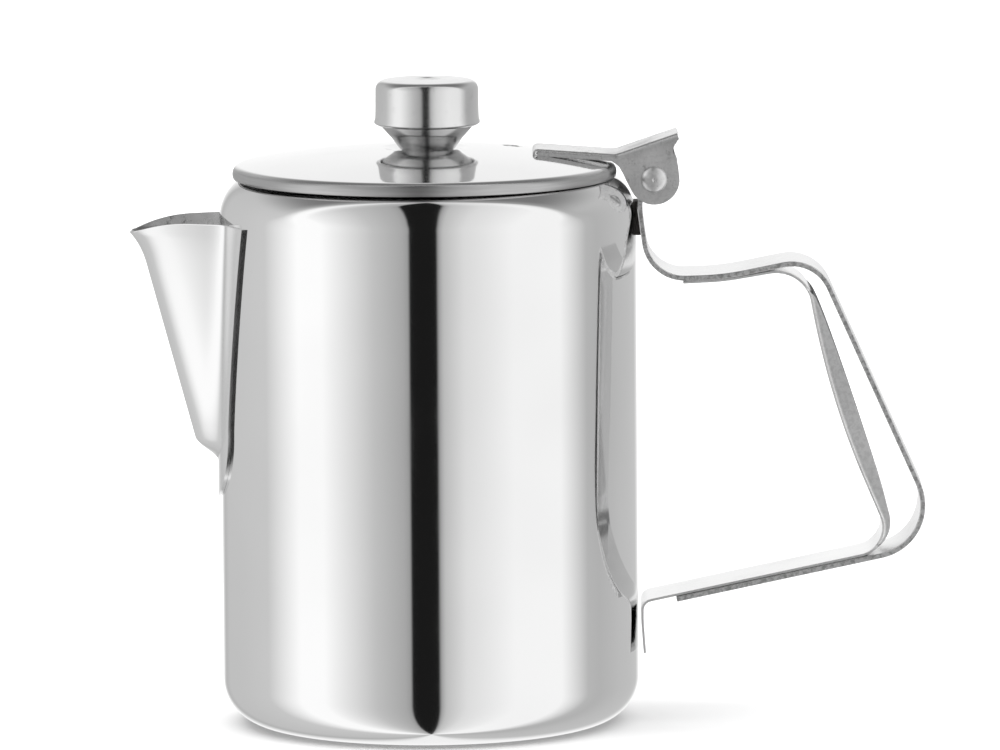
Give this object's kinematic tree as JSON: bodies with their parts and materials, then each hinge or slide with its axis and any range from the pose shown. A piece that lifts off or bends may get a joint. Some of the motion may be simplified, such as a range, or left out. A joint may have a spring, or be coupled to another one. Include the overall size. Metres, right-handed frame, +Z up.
{
  "type": "teapot",
  "caption": "Straight-sided polished steel serving pot with a welded pouring spout, a flat-strap handle and a domed lid that hinges on a riveted thumb lever.",
  "frame": {"origin": "on the pot's axis, in the plane that the foot ring stands on", "axes": "+Z up along the pot's axis, +X towards the handle, -X towards the spout, +Y across"},
  "size_m": [0.1848, 0.097, 0.1506],
  "materials": {
    "polished_steel": "mirror-polished stainless steel",
    "strap_steel": "tumbled bright stainless strip with dull cut edges",
    "turned_steel": "fine turned lines, satin",
    "plain_steel": "plain mill finish",
    "dark_steel": "weld-darkened"
  },
  "bodies": {
    "pot": {"pot_body": "polished_steel", "spout": "polished_steel", "outer_strap": "strap_steel", "inner_strap": "strap_steel", "strap_pad": "dark_steel"},
    "lid": {"lid_shell": "polished_steel", "lid_ring": "plain_steel", "lid_lever": "strap_steel", "hinge_pin": "strap_steel", "knob_cap": "turned_steel", "knob_cone": "turned_steel", "knob_boss": "plain_steel", "knob_screw": "plain_steel", "knob_washer": "plain_steel"}
  },
  "joints": [
    {"name": "lid_hinge", "type": "hinge", "parent": "pot", "child": "lid", "pos_m": [0.05265, 0, 0.12745], "axis": [0, 1, 0], "range_deg": [0, 110]}
  ]
}
